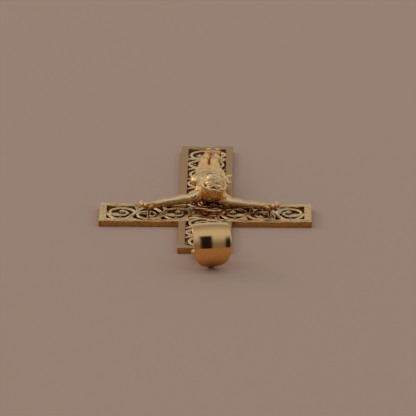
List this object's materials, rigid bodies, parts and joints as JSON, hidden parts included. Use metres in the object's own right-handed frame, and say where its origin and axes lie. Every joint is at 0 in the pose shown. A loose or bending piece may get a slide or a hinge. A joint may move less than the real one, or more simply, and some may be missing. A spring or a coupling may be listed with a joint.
{
  "type": "crucifix pendant",
  "caption": "Crucifix pendant: a pierced scrollwork cross with a cast figure nailed to it, and a wide tapered bail that swings on a round wire eye.",
  "frame": {"origin": "bottom centre of the bounding box, on the surface that the pendant lies on", "axes": "+X towards the figure's left hand, +Y towards the head end and the bail, +Z out of the front face"},
  "size_m": [0.032, 0.0556, 0.0066],
  "materials": {
    "satin_gold": "satin 14 carat yellow gold",
    "polished_gold": "polished 14 carat yellow gold"
  },
  "bodies": {
    "cross": {"cross": "satin_gold", "corpus": "polished_gold", "nail_left_hand": "polished_gold", "nail_right_hand": "polished_gold", "nail_left_foot": "polished_gold", "nail_right_foot": "polished_gold"},
    "bail": {"bail": "polished_gold"}
  },
  "joints": [
    {"name": "bail_swing", "type": "hinge", "parent": "cross", "child": "bail", "pos_m": [-0.00065, 0.02254, 0.00148], "axis": [0.9877, 0.1564, 0], "range_deg": [-115, 45]}
  ]
}
